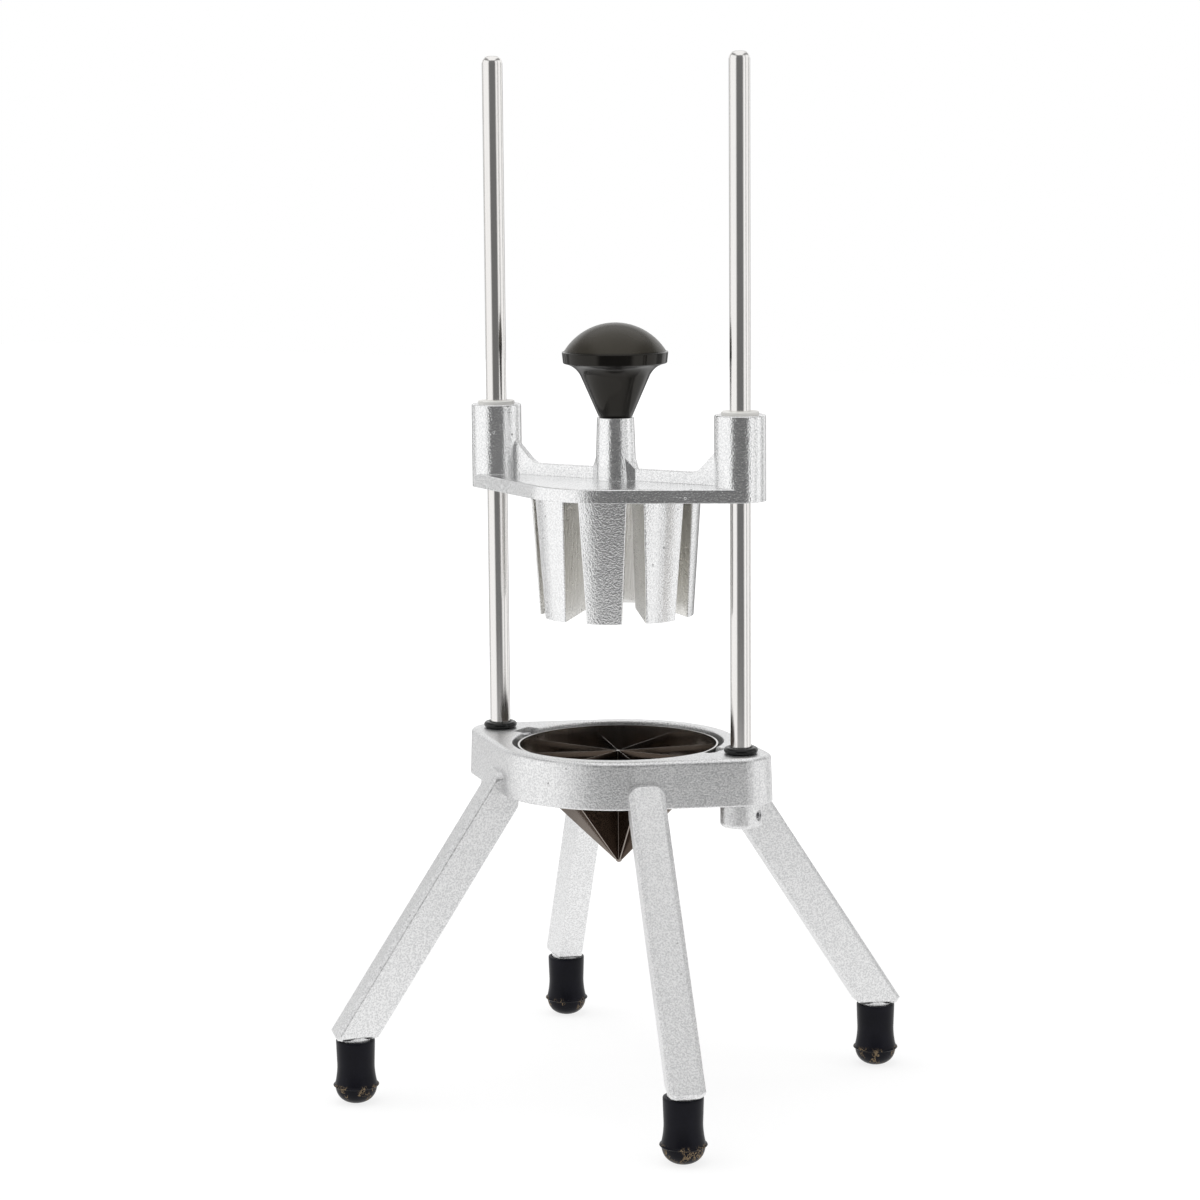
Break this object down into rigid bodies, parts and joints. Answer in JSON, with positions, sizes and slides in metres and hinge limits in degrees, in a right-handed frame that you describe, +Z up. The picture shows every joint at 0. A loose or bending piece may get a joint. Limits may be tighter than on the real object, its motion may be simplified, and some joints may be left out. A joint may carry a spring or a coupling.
{
  "type": "apple slicer wedger press",
  "caption": "Countertop press: a hand-pushed plate with fingers slides on upright rods over a ring of V-shaped blades in a splayed-leg casting.",
  "frame": {"origin": "on the floor, on the axis of the blades, midway between the guide rods", "axes": "+Z up along the guide rods; the rods stand on the X axis, with the right rod at +X; the front is -Y"},
  "size_m": [0.2012, 0.2034, 0.482],
  "materials": {
    "cast_aluminium": "as-cast, fine grained",
    "polished_steel": "polished stainless steel",
    "blade_steel": "bright stainless strip",
    "fastener_steel": "plain steel",
    "foot_rubber": "black moulded rubber",
    "bumper_rubber": "glossy black rubber",
    "white_nylon": "natural nylon",
    "black_phenolic": "polished moulding",
    "brass": "turned"
  },
  "bodies": {
    "frame": {"base_casting": "cast_aluminium", "blade_1": "blade_steel", "blade_2": "blade_steel", "blade_3": "blade_steel", "blade_4": "blade_steel", "blade_5": "blade_steel", "blade_6": "blade_steel", "blade_7": "blade_steel", "blade_8": "blade_steel", "blade_centre_weld": "blade_steel", "blade_ring": "blade_steel", "blade_ring_screw_left": "fastener_steel", "blade_ring_screw_right": "fastener_steel", "bumper_ring_left": "bumper_rubber", "bumper_ring_right": "bumper_rubber", "foot_front_left": "foot_rubber", "foot_front_right": "foot_rubber", "foot_rear_left": "foot_rubber", "foot_rear_right": "foot_rubber", "guide_rod_left": "polished_steel", "guide_rod_right": "polished_steel", "rod_set_screw_left": "fastener_steel", "rod_set_screw_right": "fastener_steel"},
    "pusher": {"pusher_casting": "cast_aluminium", "upper_bush_left": "white_nylon", "upper_bush_right": "white_nylon", "lower_bush_left": "white_nylon", "lower_bush_right": "white_nylon", "knob": "black_phenolic", "knob_insert": "brass", "knob_stud": "fastener_steel"}
  },
  "joints": [
    {"name": "pusher_slide", "type": "slide", "parent": "frame", "child": "pusher", "axis": [0, 0, 1], "range_m": [-0.1128, 0.155]}
  ]
}
